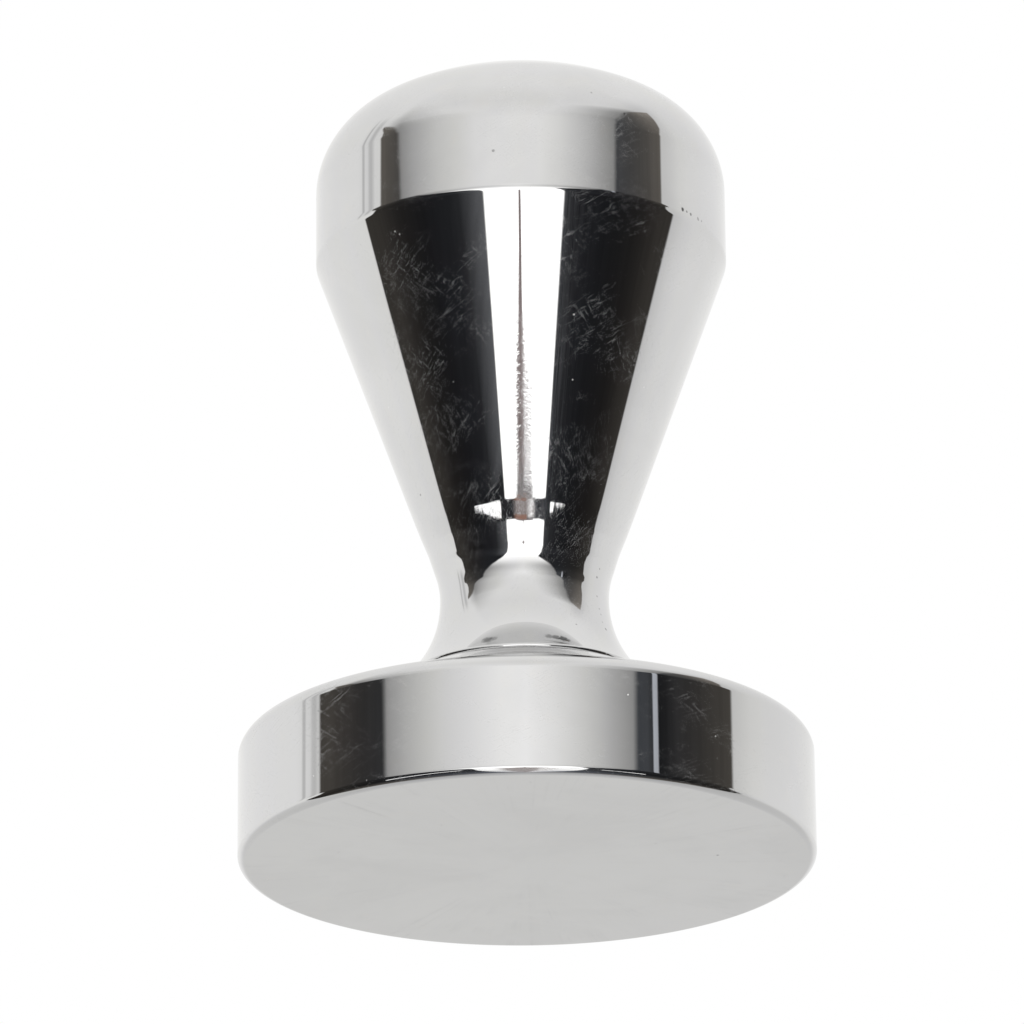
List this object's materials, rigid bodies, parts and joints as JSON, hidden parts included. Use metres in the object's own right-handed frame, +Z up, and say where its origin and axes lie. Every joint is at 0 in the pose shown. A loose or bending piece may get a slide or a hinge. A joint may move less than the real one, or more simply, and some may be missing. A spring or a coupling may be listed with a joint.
{
  "type": "espresso tamper",
  "caption": "All-metal espresso tamper: flat round base with a flared hub, and a turned waisted handle with a domed knob that screws onto it.",
  "frame": {"origin": "centre of the flat tamping face, the face the tamper stands on", "axes": "+Z up along the turning axis, from the tamping face to the top of the knob; +X and +Y are free, because every outer surface is round"},
  "size_m": [0.058, 0.058, 0.0848],
  "materials": {
    "base_steel": "mirror polished stainless steel, lapped tamping face",
    "handle_chrome": "turned steel, bright chrome plated",
    "stud_steel": "rolled thread, plain zinc",
    "washer_nylon": "black nylon"
  },
  "bodies": {
    "base": {"tamping_base": "base_steel"},
    "washer": {"seam_washer": "washer_nylon"},
    "handle": {"handle": "handle_chrome", "threaded_stud": "stud_steel"}
  },
  "joints": [
    {"name": "handle_lift", "type": "slide", "parent": "base", "child": "washer", "axis": [0, 0, 1], "range_m": [0, 0.01125]},
    {"name": "handle_turn", "type": "hinge", "parent": "washer", "child": "handle", "pos_m": [0, 0, 0.01871], "axis": [0, 0, 1], "range_deg": [0, 3241]}
  ],
  "couplings": [
    {"joint": "handle_turn", "follows": "handle_lift", "rad_per_m": 5026.5}
  ]
}
